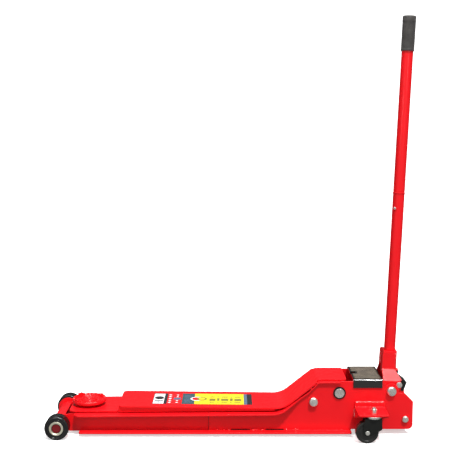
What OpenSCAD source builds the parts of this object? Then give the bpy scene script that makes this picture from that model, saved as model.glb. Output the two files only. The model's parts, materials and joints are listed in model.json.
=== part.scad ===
// Long-chassis trolley jack.
// +X points to the handle end, +Y to the right, +Z up. The origin is on the floor,
// under the middle of the chassis. Left is the -Y side, as seen from the handle.

/* [Overall] */
// Length from the front of the front wheels to the back of the chassis
overall_length = 1220; // [1000:5:1500]
// Width over the outer faces of the side plates
frame_width = 156; // [130:2:200]
// Length of the handle, from its pivot to its top
handle_length = 1231; // [1000:1:1600]

/* [Chassis] */
// Thickness of the side plates
plate_t = 6; // [4:0.5:8]
// Thickness of the front rails' webs
web_t = 5; // [4:0.5:7]
// Thickness of the bent flanges
flange_t = 5; // [3:0.5:7]
// How far the flanges stand out from the inner faces of the side plates
flange_w = 33; // [24:1:40]
// Height of the chassis above the floor
ground_gap = 11; // [8:1:16]
// Height of the rear half of the side plates
plate_top = 183; // [176:1:190]

/* [Wheels] */
// Diameter of the front wheels
front_wheel_d = 80; // [72:2:96]
// Width of the front wheels
front_wheel_w = 42; // [30:1:50]
// Diameter of the front axle
axle_d = 28; // [22:1:32]
// Diameter of the caster wheels
caster_wheel_d = 75; // [66:1:80]
// Width of the caster wheels
caster_wheel_w = 26; // [20:1:30]

/* [Lift arm] */
// Thickness of the two arm beams
beam_t = 8; // [6:0.5:10]
// Thickness of the arm's cover plate
cover_t = 5; // [3:0.5:7]
// Diameter of the shaft that the arm turns on
pivot_d = 32; // [26:1:36]
// Length of the crank that the ram pushes
crank_r = 88; // [80:1:92]
// Diameter of the saddle
saddle_d = 114; // [90:2:130]

/* [Hydraulics] */
// Diameter of the ram
ram_d = 42; // [34:1:50]
// Diameter of the oil reservoir
reservoir_d = 80; // [70:1:80]
// Diameter of the pump plunger
plunger_d = 14; // [10:0.5:16]

/* [Handle] */
// Outer diameter of the handle tubes
tube_d = 38; // [30:1:46]
// Wall of the handle tubes
tube_wall = 3; // [2:0.5:4]
// Lean of the resting handle behind the vertical, in degrees
handle_lean = 2.1; // [0:0.1:6]

/* [Hidden] */
$fn = 64;
arc_steps = 8;

// Colours
red = "#d9121c";
dark_red = "#7a1016";
black = "#1c1c1c";
zinc = "#b9bcbb";
steel = "#8d9193";
cream = "#c9c4a4";
cast_grey = "#4a4d50";

// Fits: a part that turns or slides, a part that passes another, a clear gap
running = 0.05;
side_gap = 1;
cover_gap = 3;

// Stations across the jack, from the middle outwards
plate_out = frame_width / 2;
plate_in = plate_out - plate_t;
web_in = plate_in - web_t;
flange_out = plate_in + flange_w;
hub_out = plate_in - 2;
beam_out = web_in - 5;
beam_in = beam_out - beam_t;
cheek_t = 8;
cheek_out = beam_in - side_gap;
cheek_in = cheek_out - cheek_t;
rod_t = 10;
rod_out = cheek_in - side_gap;
rod_in = rod_out - rod_t;
deck_half = plate_in + 2;
cover_half = plate_out + 7;

// Stations along the jack: the front group follows the wheels, the rear group the back
function front(d) = -overall_length / 2 + d;
function back(d) = overall_length / 2 - d;
axle_r = axle_d / 2;
axle_x = front(front_wheel_d / 2);
axle_z = front_wheel_d / 2;
nose_r = axle_r + 10;
seam_x = back(680);
step_x = back(206);

// Pivots
arm_x = back(246);
arm_z = 144;
anchor_x = back(332);
anchor_z = 114;
handle_x = back(73);
handle_z = 150;
anchor_d = 20;
handle_pin_d = 20;
link_x = anchor_x - arm_x;
link_z = anchor_z - arm_z;
carrier_x = front(170);
carrier_z = 56;
carrier_pin_d = 18;
rod_pin_x = carrier_x + link_x;
rod_pin_z = carrier_z + link_z;
saddle_x = front(130);

// Crank at rest: as far behind the pivot as it is in front when the arm is up
crank_half_angle = 21;
crank_x = arm_x + crank_r * sin(crank_half_angle);
crank_z = arm_z - crank_r * cos(crank_half_angle);
crank_pin_d = 22;
roller_r = 18;
roller_half = 20;
ram_gap = 0.6;
lobe_r = 20;

// Hydraulic unit, in line with the crank pin
block_top = 98;
block_bottom = 22;
block_half = plate_out - 40;
block_front = back(120);
block_back = back(10);
main_bore_x = back(76);
reservoir_front = block_front - 49;
gland_t = 10;
pump_x = back(43.5);
pump_bore_z = 50;
barrel_d = 26;
barrel_h = 6;
tie_x = back(25.5);
tie_z = 54;
tie_d = 12;
spring_y = cheek_out - 6;
spring_d = 12;
stub_x = back(85);
stub_d = 10;

// Pump roller on the yoke, and the plunger's head just under it
pump_roller_x = handle_x + 27;
pump_roller_z = handle_z + 18;
pump_roller_r = 12;
roller_pin_d = 12;
head_gap = 0.4;
head_top = pump_roller_z - pump_roller_r - head_gap;
head_h = 6;
head_r = 10;

// Release valve, tilted forwards from the handle pivot
valve_tilt = 20;
ball_r = 8.5;
neck_r = 4.5;
valve_seat = 60;
cup_bore_r = ball_r + 0.5;
cup_r = cup_bore_r + 3.5;

// Handle
tube_r = tube_d / 2;
bore_r = tube_r - tube_wall;
socket_r = tube_r + 0.08;
sleeve_half = tube_r + 9;
sleeve_front = tube_r + 3.5;
sleeve_low = 40;
sleeve_high = 121;
joint_u = handle_length - 573;
grip_wall = 3;
grip_length = 113;
grip_cap = 6;
button_u = joint_u - 54;
button_d = 9;
button_turn = -132;
spigot_r = bore_r - 0.2;
spigot_wall = 2;
spigot_reach = 90;
screw_u = 52;
screw_d = 8;
groove_depth = 1;

// Casters
caster_y = plate_out + 72;
swivel_x = back(142);
caster_trail = 22;
shelf_z = 92;
shelf_t = 6;
shelf_front = back(194.4);
shelf_back = back(95.7);
shelf_out = caster_y + 22;
king_d = 12;
fork_t = 3;
fork_gap = 1;
caster_axle_d = 10;

// Front wheels
wheel_in = plate_out + 15;
wheel_out = wheel_in + front_wheel_w;
bush_wall = 9.5;
bush_r = axle_r + bush_wall;
bush_proud = 1;

// ---- Outline helpers: corners are [x, z, radius] ----

function unit(v) = v / norm(v);
function flat_point(c) = [c.x, c.y];
function round_corner(a, b, c) =
    b.z == 0 ? [flat_point(b)] :
    let (p = flat_point(b),
        u = unit(flat_point(a) - p),
        v = unit(flat_point(c) - p),
        half = acos(u * v) / 2,
        centre = p + unit(u + v) * b.z / sin(half),
        s = p + u * b.z / tan(half) - centre,
        turn = -sign(cross(u, v)) * (180 - 2 * half))
    [for (i = [0 : arc_steps]) let (t = turn * i / arc_steps)
        centre + [s.x * cos(t) - s.y * sin(t), s.x * sin(t) + s.y * cos(t)]];
function rounded(corners) = let (n = len(corners))
    [for (i = [0 : n - 1])
        each round_corner(corners[(i + n - 1) % n], corners[i], corners[(i + 1) % n])];

// A line of corners from front to back, moved down by d, with its bends kept concentric
function down(a, b) = let (t = unit(flat_point(b) - flat_point(a))) [t.y, -t.x];
function moved_down(line, d) = [for (i = [0 : len(line) - 1])
    let (p = line[i],
        n1 = down(line[max(i - 1, 0)], line[max(i, 1)]),
        n2 = down(line[min(i, len(line) - 2)], line[min(i + 1, len(line) - 1)]),
        q = flat_point(p) + d * (n1 + n2) / (1 + n1 * n2),
        bend = p.z == 0 ? 0 : p.z - sign(cross(n1, n2)) * -d)
    [q.x, q.y, max(bend, 0)]];
function reversed(list) = [for (i = [len(list) - 1 : -1 : 0]) list[i]];

// The top edge of the chassis, and the top of the arm's cover plate
deck_line = [[front(91), 73, 0], [back(445), 79, 80], [back(348), plate_top - 35, 40],
    [back(315), plate_top, 10], [back(98), plate_top, 8]];
cover_line = [[front(238), 101, 0], [back(433), 94.7, 80], [back(316), 188, 15],
    [back(222), 188, 0]];
cover_wide_x = back(327);
beam_depth = 29;

module across(y0, y1)
    translate([0, y1, 0]) rotate([90, 0, 0]) linear_extrude(y1 - y0) children();

// A round bar or hole along Y
module bar_y(x, z, d, y0, y1)
    translate([x, y1, z]) rotate([90, 0, 0]) cylinder(d = d, h = y1 - y0);

// A round bar or hole along X
module bar_x(x0, x1, z, d)
    translate([x0, 0, z]) rotate([0, 90, 0]) cylinder(d = d, h = x1 - x0);

// What is drawn on the +Y side, put on the side that is asked for
module on_side(side)
    mirror([0, side < 0 ? 1 : 0, 0]) children();

module both_sides() {
    children();
    mirror([0, 1, 0]) children();
}

// A flat bar in X and Z from one point to another, with round ends
module link(p, q, w) hull() {
    translate(p) circle(d = w, $fn = 32);
    translate(q) circle(d = w, $fn = 32);
}

// A pin head along +Y with a domed face, standing on y
module domed_head(x, z, r, h, y)
    translate([x, y, z]) rotate([-90, 0, 0]) rotate_extrude()
        polygon(concat([[0, 0], [r, 0]],
            [for (a = [0 : 15 : 90]) [r - h / 2 + h / 2 * cos(a), h / 2 + h / 2 * sin(a)]],
            [[0, h]]));

// ---- Chassis ----

module rail_web() {
    translate([axle_x, axle_z]) circle(r = nose_r);
    polygon([[axle_x, axle_z - nose_r], [front(75), ground_gap], [seam_x + 70, ground_gap],
        each reversed([for (x = [deck_line[0].x, seam_x + 70]) [x, deck_height(x)]]),
        [axle_x, axle_z + nose_r]]);
}

// Height of the long straight stretch of the chassis' top edge
function deck_height(x) = deck_line[0].y + (x - deck_line[0].x)
    * (deck_line[1].y - deck_line[0].y) / (deck_line[1].x - deck_line[0].x);

module front_rail(side) color(red) on_side(side) difference() {
    union() {
        across(web_in, plate_in) rail_web();
        intersection() {
            across(web_in, flange_out) polygon([
                [deck_line[0].x, deck_line[0].y], [seam_x, deck_height(seam_x)],
                [seam_x, deck_height(seam_x) - flange_t],
                [deck_line[0].x, deck_line[0].y - flange_t]]);
            linear_extrude(2 * plate_top) polygon(rounded([
                [deck_line[0].x, web_in, 0], [seam_x, web_in, 0],
                [seam_x, flange_out, 0], [deck_line[0].x, flange_out, 20]]));
        }
        translate([0, 0, ground_gap]) linear_extrude(flange_t) polygon(rounded([
            [front(107), web_in, 0], [seam_x, web_in, 0],
            [seam_x, flange_out, 0], [front(107), flange_out, 8]]));
    }
    bar_y(axle_x, axle_z, axle_d, web_in - 1, plate_in + 1);
}

ear_r = 24.5;
slot_h = 4;
slot_l = 62;

module side_profile() {
    polygon(rounded(concat([[seam_x, deck_height(seam_x), 0]],
        [for (i = [1 : 4]) deck_line[i]],
        [[back(82), handle_z + 8, 0], [back(62), handle_z - 7, 0],
        [back(29), handle_z - 7, 5], [back(0), handle_z - 36, 5], [back(0), 19, 16],
        [step_x, 19, 0], [step_x, ground_gap, 4], [seam_x, ground_gap, 0]])));
    translate([handle_x, handle_z]) circle(r = ear_r);
}

module side_plate(side) color(red) on_side(side) difference() {
    union() {
        across(plate_in, plate_out) side_profile();
        intersection() {
            across(plate_in, flange_out) difference() {
                side_profile();
                translate([0, -flange_t]) side_profile();
                translate([back(241), 0]) square(2 * plate_top);
            }
            linear_extrude(2 * plate_top) polygon(rounded([
                [seam_x, plate_in, 0], [seam_x, flange_out, 0], [back(430), flange_out, 40],
                [back(377), plate_out + 8, 40], [back(241), plate_out + 8, 6],
                [back(241), plate_in, 0]]));
        }
        translate([0, 0, ground_gap]) linear_extrude(flange_t) polygon(rounded([
            [seam_x, plate_in, 0], [step_x, plate_in, 0],
            [step_x, flange_out, 6], [seam_x, flange_out, 0]]));
    }
    bar_y(arm_x, arm_z, pivot_d, plate_in - 1, plate_out + 1);
    bar_y(anchor_x, anchor_z, anchor_d, plate_in - 1, plate_out + 1);
    bar_y(handle_x, handle_z, handle_pin_d, plate_in - 1, plate_out + 1);
    bar_y(tie_x, tie_z, tie_d, plate_in - 1, plate_out + 1);
    for (x = [seam_x + 74, seam_x + 188])
        translate([x, plate_in - 1, ground_gap + flange_t]) cube([slot_l, plate_t + 2, slot_h]);
}

circlip_t = 1.5;
clip_y = wheel_out - 5;

module front_axle() color(dark_red) difference() {
    bar_y(axle_x, axle_z, axle_d, -wheel_out + 1, wheel_out - 1);
    both_sides() difference() {
        bar_y(axle_x, axle_z, axle_d + 2, clip_y, clip_y + circlip_t);
        bar_y(axle_x, axle_z, axle_d - 2, clip_y - 1, clip_y + circlip_t + 1);
    }
}

// Spacers between the rails and the wheels, each with a dust shield beside the wheel
module axle_spacers() color(red) both_sides() difference() {
    union() {
        bar_y(axle_x, axle_z, axle_d + 12, plate_in, wheel_in - bush_proud);
        bar_y(axle_x, axle_z, front_wheel_d - 13, wheel_in - bush_proud - 3, wheel_in - bush_proud);
    }
    bar_y(axle_x, axle_z, axle_d, plate_in - 1, wheel_in);
}

// The bent plate round the nose, the plate behind the tab slots and the one under the pump
module cross_plates() color(red) {
    shell_t = 4;
    across(-web_in, web_in) translate([axle_x, axle_z]) {
        difference() {
            circle(r = nose_r);
            circle(r = nose_r - shell_t);
            translate([0, -2 * nose_r]) square(4 * nose_r);
            rotate(205) square(2 * nose_r);
        }
        translate([0, nose_r - shell_t]) square([16, shell_t]);
    }
    translate([seam_x + 70, -plate_in, ground_gap]) cube([180, 2 * plate_in, flange_t]);
    translate([block_front + 10, -plate_in, block_bottom - 4])
        cube([block_back - block_front - 10, 2 * plate_in, 4]);
}

module caster_shelf(side) color(red) on_side(side) {
    gusset_t = 5;
    difference() {
        union() {
            translate([shelf_front, plate_out, shelf_z])
                cube([shelf_back - shelf_front, shelf_t, 20]);
            translate([0, 0, shelf_z]) linear_extrude(shelf_t) polygon(rounded([
                [shelf_front, plate_out, 0], [shelf_back, plate_out, 0],
                [shelf_back, shelf_out, 6], [shelf_front, shelf_out, 6]]));
            for (x = [shelf_front, shelf_back - gusset_t])
                translate([x, 0, 0]) rotate([90, 0, 90]) linear_extrude(gusset_t)
                    polygon([[plate_out, shelf_z], [plate_out, shelf_z - 32],
                        [plate_out + 10, shelf_z - 32], [shelf_out - 8, shelf_z - 4],
                        [shelf_out - 8, shelf_z]]);
        }
        translate([swivel_x, caster_y, shelf_z - 1])
            cylinder(d = king_d, h = shelf_t + 2);
    }
}

module top_cover() color(black) {
    cover_x0 = back(200.4);
    cover_x1 = back(104);
    top = plate_top + 8;
    skirt_t = 3.5;
    inner = plate_out + 0.4;
    outer = inner + skirt_t;
    difference() {
        translate([cover_x0, 0, 0]) rotate([90, 0, 90]) linear_extrude(cover_x1 - cover_x0)
            polygon(rounded([[-outer, top - 30, 2], [-inner, top - 30, 0],
                [-inner, plate_top, 0], [inner, plate_top, 0], [inner, top - 30, 0],
                [outer, top - 30, 2], [outer, top, 7], [-outer, top, 7]]));
        translate([0, 0, plate_top - 1]) linear_extrude(20) polygon(rounded([
            [cover_x0 - 1, -11, 0], [cover_x0 + 16, -9, 4],
            [cover_x0 + 16, 9, 4], [cover_x0 - 1, 11, 0]]));
    }
}

shaft_reach = plate_out + 6;
ring_y = plate_out + 0.3;
ring_t = 2.4;

module arm_pivot_shaft() color(zinc) difference() {
    bar_y(arm_x, arm_z, pivot_d, -shaft_reach, shaft_reach);
    both_sides() difference() {
        bar_y(arm_x, arm_z, pivot_d + 2, ring_y, ring_y + ring_t);
        bar_y(arm_x, arm_z, pivot_d - 2, ring_y - 1, ring_y + ring_t + 1);
    }
}

module retaining_rings() color(black) both_sides() {
    difference() {
        bar_y(arm_x, arm_z, pivot_d + 10, ring_y, ring_y + ring_t);
        bar_y(arm_x, arm_z, pivot_d - 2, ring_y - 1, ring_y + ring_t + 1);
    }
    difference() {
        bar_y(axle_x, axle_z, axle_d + 3, clip_y, clip_y + circlip_t);
        bar_y(axle_x, axle_z, axle_d - 2, clip_y - 1, clip_y + circlip_t + 1);
    }
}

module rod_anchor_pin() color(zinc) {
    bar_y(anchor_x, anchor_z, anchor_d, -plate_out, plate_out);
    both_sides() domed_head(anchor_x, anchor_z, anchor_d / 2 + 5, 10, plate_out);
}

boss_in = plate_out - 28;

module handle_pivot_bolts() color(zinc) both_sides() {
    bar_y(handle_x, handle_z, handle_pin_d, boss_in - 2, plate_out);
    domed_head(handle_x, handle_z, handle_pin_d / 2 + 6, 9, plate_out);
}

module rear_tie_bolt() color(zinc) {
    bar_y(tie_x, tie_z, tie_d, -plate_out, plate_out);
    both_sides() domed_head(tie_x, tie_z, tie_d / 2 + 5, 7, plate_out);
}

module block_spacers() color(steel) both_sides() difference() {
    bar_y(tie_x, tie_z, tie_d + 8, block_half, plate_in);
    bar_y(tie_x, tie_z, tie_d, block_half - 1, plate_in + 1);
}

// ---- Hydraulic unit ----

module valve_axis() translate([handle_x, 0, handle_z]) rotate([0, 180 + valve_tilt, 0]) children();

module pump_block() color(cast_grey) difference() {
    union() {
        translate([block_front, 0, 0]) rotate([90, 0, 90])
            linear_extrude(block_back - block_front) polygon(rounded([
                [-block_half, block_bottom, 3], [block_half, block_bottom, 3],
                [block_half, block_top, 8], [-block_half, block_top, 8]]));
        bar_y(stub_x, crank_z, stub_d, -cheek_out - 1, cheek_out + 1);
    }
    bar_x(block_front - 1, main_bore_x, crank_z, ram_d + 2 * running);
    translate([pump_x, 0, pump_bore_z]) cylinder(r = plunger_d / 2 + running, h = 60);
    translate([pump_x, 0, block_top - 10]) cylinder(d = barrel_d - 6, h = 20);
    bar_y(tie_x, tie_z, tie_d, -block_half - 1, block_half + 1);
    valve_axis() translate([0, 0, valve_seat]) rotate([180, 0, 0]) cylinder(r = 12, h = 30);
    valve_axis() cylinder(r = 7, h = valve_seat + 6);
    translate([block_front + 12, block_half - 14, block_top - 8]) cylinder(d = 10, h = 20);
}

module reservoir_tube() color(cast_grey) difference() {
    bar_x(reservoir_front, block_front, crank_z, reservoir_d);
    bar_x(reservoir_front - 1, block_front + 1, crank_z, reservoir_d - 8);
}

module cylinder_gland() color(steel) difference() {
    union() {
        bar_x(reservoir_front - gland_t, reservoir_front, crank_z, reservoir_d - 10);
        bar_x(reservoir_front, reservoir_front + 8, crank_z, reservoir_d - 8);
    }
    bar_x(reservoir_front - gland_t - 1, reservoir_front + 9, crank_z, ram_d + 2 * running);
}

module filler_plug() color(zinc) translate([block_front + 12, block_half - 14, 0]) {
    translate([0, 0, block_top - 8]) cylinder(d = 10, h = 8);
    translate([0, 0, block_top]) cylinder(d = 16, h = 6, $fn = 6);
}

module pump_barrel() color(steel) translate([pump_x, 0, 0]) difference() {
    union() {
        translate([0, 0, block_top - 10]) cylinder(d = barrel_d - 6, h = 10);
        translate([0, 0, block_top]) cylinder(d = barrel_d, h = barrel_h, $fn = 6);
    }
    translate([0, 0, block_top - 11])
        cylinder(r = plunger_d / 2 + running, h = barrel_h + 12);
}

module release_valve_gland() color(steel) valve_axis() difference() {
    union() {
        translate([0, 0, valve_seat - 10]) cylinder(d = 22, h = 10, $fn = 6);
        translate([0, 0, valve_seat]) cylinder(r = 7, h = 6);
    }
    translate([0, 0, valve_seat - 11]) cylinder(r = neck_r + running, h = 18);
}

module return_springs() color(zinc) both_sides() translate([0, spring_y, 0]) difference() {
    spring_x0 = crank_x + crank_pin_d / 2 + 1;
    spring_x1 = stub_x - stub_d / 2 - 0.5;
    bar_x(spring_x0, spring_x1, crank_z, spring_d);
    bar_x(spring_x0 - 1, spring_x1 + 1, crank_z, spring_d - 5);
}

// ---- Lift arm ----

module arm_hole(x, z, d) bar_y(x, z, d, -plate_out, plate_out);

brace_x = cover_line[0].x + 12;

module beam_profile() {
    under = moved_down(cover_line, cover_t);
    low = moved_down(cover_line, cover_t + beam_depth);
    bottom = 30;
    slope = (low[2].y - low[1].y) / (low[2].x - low[1].x);
    foot_x = low[1].x - (low[1].y - bottom) / slope;
    bend_x = low[2].x - 10;
    polygon(rounded([[carrier_x, carrier_z - 18, 0], [carrier_x + 40, bottom, 12],
        [foot_x, bottom, 40], [bend_x, low[1].y + (bend_x - low[1].x) * slope, 8],
        [arm_x - 18, arm_z - 22, 0], [arm_x + 16, arm_z, 0], [arm_x + 16, under[2].y, 6],
        [under[2].x, under[2].y, under[2].z], [under[1].x, under[1].y, under[1].z],
        [brace_x, height_on(under, brace_x), 0], [brace_x - 4, carrier_z + 17, 6],
        [carrier_x, carrier_z + 18, 0]]));
    translate([carrier_x, carrier_z]) circle(r = 18);
    translate([arm_x, arm_z]) circle(r = pivot_d / 2 + 14);
    link([arm_x, arm_z], [crank_x, crank_z], 2 * lobe_r);
}

// Height of the first stretch of a line at x
function height_on(line, x) = line[0].y + (x - line[0].x)
    * (line[1].y - line[0].y) / (line[1].x - line[0].x);

hub_d = pivot_d + 18;

module arm_beams() color(red) {
    both_sides() difference() {
        across(beam_in, beam_out) beam_profile();
        arm_hole(carrier_x, carrier_z, carrier_pin_d + 2 * running);
        arm_hole(arm_x, arm_z, hub_d);
        arm_hole(crank_x, crank_z, crank_pin_d);
    }
    translate([brace_x, -beam_in, 50]) cube([8, 2 * beam_in, 40]);
}

module arm_skirts() color(red) both_sides() {
    under = moved_down(cover_line, cover_t);
    top = [for (x = [under[0].x, back(460)]) [x, height_on(under, x)]];
    bottom = [for (x = [under[0].x, back(460)]) [x, deck_height(x) + cover_gap]];
    across(plate_in, plate_out) polygon(concat(top, reversed(bottom)));
}

module arm_cover() color(red) {
    outline = concat(rounded_line(cover_line), reversed(rounded_line(
        moved_down(cover_line, cover_t))));
    intersection() {
        across(-cover_half, cover_half) polygon(outline);
        linear_extrude(2 * plate_top) polygon(rounded([
            [cover_line[0].x, -cover_half, 14], [cover_wide_x, -cover_half, 4],
            [cover_wide_x + 8, -hub_out, 4], [cover_line[3].x, -hub_out, 8],
            [cover_line[3].x, hub_out, 8], [cover_wide_x + 8, hub_out, 4],
            [cover_wide_x, cover_half, 4], [cover_line[0].x, cover_half, 14]]));
    }
}

function rounded_line(line) = concat([flat_point(line[0])],
    [for (i = [1 : len(line) - 2]) each round_corner(line[i - 1], line[i], line[i + 1])],
    [flat_point(line[len(line) - 1])]);

module arm_hub_tube() color(red) difference() {
    bar_y(arm_x, arm_z, hub_d, -hub_out, hub_out);
    arm_hole(arm_x, arm_z, pivot_d + 2 * running);
}

module crank_pin() color(steel) bar_y(crank_x, crank_z, crank_pin_d, -beam_out, beam_out);

module crank_roller() color(steel) difference() {
    bar_y(crank_x, crank_z, 2 * roller_r, -roller_half, roller_half);
    arm_hole(crank_x, crank_z, crank_pin_d);
}

// ---- Saddle and its level linkage ----

deck_z = 76;
deck_t = 5;
deck_front = front(72);
deck_rear = front(241);
deck_step = front(231);
tail_half = plate_in - 1.5;
stem_d = 30;
stem_low = 46;

module saddle_carrier() color(red) difference() {
    union() {
        translate([0, 0, deck_z]) linear_extrude(deck_t) polygon(rounded([
            [deck_front, -deck_half, 16], [deck_step, -deck_half, 2],
            [deck_step + 4, -tail_half, 0], [deck_rear, -tail_half, 5],
            [deck_rear, tail_half, 5], [deck_step + 4, tail_half, 0],
            [deck_step, deck_half, 2], [deck_front, deck_half, 16]]));
        both_sides() across(cheek_in, cheek_out) polygon(rounded([
            [deck_front, deck_z, 0], [deck_front, rod_pin_z - 14, 12],
            [rod_pin_x + 18, rod_pin_z - 14, 10], [carrier_x + 16, carrier_z - 12, 12],
            [carrier_x + 16, deck_z, 0]]));
        translate([saddle_x, 0, stem_low]) cylinder(d = stem_d + 18, h = deck_z - stem_low + 1);
        translate([saddle_x - 4, -cheek_in - 1, deck_z - 22]) cube([8, 2 * cheek_in + 2, 22]);
    }
    translate([saddle_x, 0, 0]) cylinder(d = stem_d + 2 * running, h = 2 * deck_z);
    arm_hole(carrier_x, carrier_z, carrier_pin_d);
    arm_hole(rod_pin_x, rod_pin_z, carrier_pin_d - 6);
}

module carrier_pins() color(steel) {
    bar_y(carrier_x, carrier_z, carrier_pin_d, cheek_in - 1, beam_out + 1);
    bar_y(carrier_x, carrier_z, carrier_pin_d, -beam_out - 1, -cheek_in + 1);
    bar_y(rod_pin_x, rod_pin_z, carrier_pin_d - 6, -cheek_out - 2, cheek_out + 2);
}

saddle_floor = 95;
saddle_rim = 102;
saddle_under = deck_z + deck_t + 7;

module saddle() color(red) translate([saddle_x, 0, 0]) {
    rim_w = 5;
    rotate_extrude() polygon([[0, stem_low], [stem_d / 2 - 2, stem_low],
        [stem_d / 2, stem_low + 2], [stem_d / 2, deck_z + deck_t + 0.5],
        [stem_d / 2 + 8, deck_z + deck_t + 0.5], [stem_d / 2 + 8, saddle_under],
        [saddle_d / 2 - 7, saddle_under], [saddle_d / 2, saddle_under + 5],
        [saddle_d / 2, saddle_rim - 2], [saddle_d / 2 - 2, saddle_rim],
        [saddle_d / 2 - rim_w, saddle_rim], [saddle_d / 2 - rim_w - 4, saddle_floor],
        [0, saddle_floor]]);
    for (a = [45 : 90 : 315]) rotate(a) translate([saddle_d / 2 - 11, -7, saddle_floor - 1])
        cube([9, 14, saddle_rim + 4 - saddle_floor + 1]);
}

module levelling_rods() color(red) both_sides() difference() {
    across(rod_in, rod_out) {
        bar_h = 18;
        stations = [[rod_pin_x, rod_pin_z], [rod_pin_x + 96, rod_pin_z + 6],
            [anchor_x - 88, anchor_z - 64], [anchor_x, anchor_z]];
        for (i = [0 : 2]) link(stations[i], stations[i + 1], bar_h);
        translate(stations[0]) circle(r = 12);
        translate(stations[3]) circle(r = anchor_d / 2 + 6);
    }
    arm_hole(rod_pin_x, rod_pin_z, carrier_pin_d - 6 + 2 * running);
    arm_hole(anchor_x, anchor_z, anchor_d + 2 * running);
}

// ---- Ram ----

ram_face = crank_x + roller_r + ram_gap;
head_t = 12;

module ram() color(steel) bar_x(ram_face + head_t, main_bore_x - 4, crank_z, ram_d);

module ram_head() color(steel) translate([ram_face, 0, crank_z]) rotate([0, 90, 0])
    rotate_extrude() polygon(rounded([[0, 0, 0], [ram_d / 2 + 4, 0, 2],
        [ram_d / 2 + 4, head_t, 2], [0, head_t, 0]]));

// ---- Handle, drawn along its own axis from the pivot ----

module in_handle() translate([handle_x, 0, handle_z]) rotate([0, handle_lean, 0]) children();

// The pump roller's place in the handle's own axes
roller_v = (pump_roller_x - handle_x) * cos(handle_lean)
    - (pump_roller_z - handle_z) * sin(handle_lean);
roller_u = (pump_roller_x - handle_x) * sin(handle_lean)
    + (pump_roller_z - handle_z) * cos(handle_lean);
yoke_out = plate_in - 3;
yoke_t = 6;
lobe_d = 32;
boss_r = 20;
flare_low = 32;
flare_high = 63;

module cheek_profile() {
    polygon(rounded([[-sleeve_front - 5, 20, 10], [-sleeve_front - 5, sleeve_high, 6],
        [sleeve_front - 8, sleeve_high, 6], [sleeve_front - 8, 62, 20],
        [roller_v + 14, roller_u + 8, 8], [roller_v, roller_u, 0], [0, 0, 0], [-boss_r, 0, 0]]));
    circle(r = boss_r);
    translate([roller_v, roller_u]) circle(d = lobe_d);
}

module handle_yoke() color(red) in_handle() difference() {
    union() {
        both_sides() intersection() {
            across(0, plate_out) cheek_profile();
            translate([-100, 0, 0]) rotate([90, 0, 90]) linear_extrude(200) polygon([
                [yoke_out - yoke_t, -30], [yoke_out, -30], [yoke_out, flare_low],
                [sleeve_half + yoke_t, flare_high], [sleeve_half + yoke_t, 130],
                [sleeve_half, 130], [sleeve_half, flare_high - 2],
                [yoke_out - yoke_t, flare_low - 2]]);
        }
        both_sides() bar_y(0, 0, 2 * boss_r, boss_in, yoke_out - yoke_t + 1);
        translate([0, 0, sleeve_low]) linear_extrude(sleeve_high - sleeve_low)
            polygon(rounded([
                [-sleeve_front, -sleeve_half, 3], [sleeve_front, -sleeve_half, 11],
                [sleeve_front, sleeve_half, 11], [-sleeve_front, sleeve_half, 3]]));
    }
    bar_y(0, 0, handle_pin_d + 2 * running, -plate_out, plate_out);
    bar_y(roller_v, roller_u, roller_pin_d, -plate_out, plate_out);
    translate([0, 0, sleeve_low - 1]) cylinder(r = socket_r, h = sleeve_high);
    translate([0, 0, screw_u]) rotate([0, 90, 0]) cylinder(r = screw_d / 2 + running, h = 60);
}

module roller_pin() color(zinc) {
    bar_y(pump_roller_x, pump_roller_z, roller_pin_d, -yoke_out, yoke_out);
    both_sides() domed_head(pump_roller_x, pump_roller_z, roller_pin_d / 2 + 4,
        2, yoke_out);
}

module pump_roller() color(steel) difference() {
    bar_y(pump_roller_x, pump_roller_z, 2 * pump_roller_r, -20, 20);
    arm_hole(pump_roller_x, pump_roller_z, roller_pin_d);
}

// The guard over the pump roller: two walls that carry the roller pin, and a sloping roof
module roller_bracket() color(black) {
    wall_in = 24;
    wall_out = 28;
    high = [pump_roller_x - 1, pump_roller_z + 20.5];
    rear = [pump_roller_x + 34, pump_roller_z - 4];
    low = [pump_roller_x + 14, pump_roller_z - 33];
    roof_t = 3.5;
    roof = unit(rear - high);
    inward = [roof.y, -roof.x] * roof_t;
    difference() {
        union() {
            both_sides() across(wall_in, wall_out) polygon(rounded([
                [high.x, high.y, 0], [rear.x, rear.y, 2], [low.x, low.y, 4],
                [pump_roller_x - 9, pump_roller_z - 14, 6]]));
            across(-wall_out, wall_out)
                polygon([high, rear - roof * 1, rear - roof * 1 + inward, high + inward]);
        }
        arm_hole(pump_roller_x, pump_roller_z, roller_pin_d);
    }
}

module retaining_screw() color(red) in_handle() translate([0, 0, screw_u]) rotate([0, 90, 0]) {
    translate([0, 0, tube_r - groove_depth + 0.3])
        cylinder(d = screw_d, h = sleeve_front - tube_r + groove_depth + 1);
    translate([0, 0, sleeve_front + 0.5]) cylinder(d = screw_d + 4, h = 9);
}

// A length of tube with a small chamfer at one end
module tube_length(u0, u1, chamfer_low, chamfer_high) {
    c = tube_wall * 0.6;
    translate([0, 0, u0]) rotate_extrude() polygon([
        [bore_r, 0], [tube_r - (chamfer_low ? c : 0), 0], [tube_r, chamfer_low ? c : 0],
        [tube_r, u1 - u0 - (chamfer_high ? c : 0)],
        [tube_r - (chamfer_high ? c : 0), u1 - u0], [bore_r, u1 - u0]]);
}

module button_hole(r) translate([0, 0, button_u]) rotate([0, 0, button_turn])
    rotate([0, 90, 0]) cylinder(r = r, h = tube_r + 10);

module lower_handle_tube() color(red) in_handle() difference() {
    tube_length(sleeve_low, joint_u, false, true);
    button_hole(button_d / 2 + 0.3);
    translate([0, 0, screw_u - 4.5]) difference() {
        cylinder(r = tube_r + 1, h = 9);
        translate([0, 0, -1]) cylinder(r = tube_r - groove_depth, h = 11);
    }
}

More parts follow.
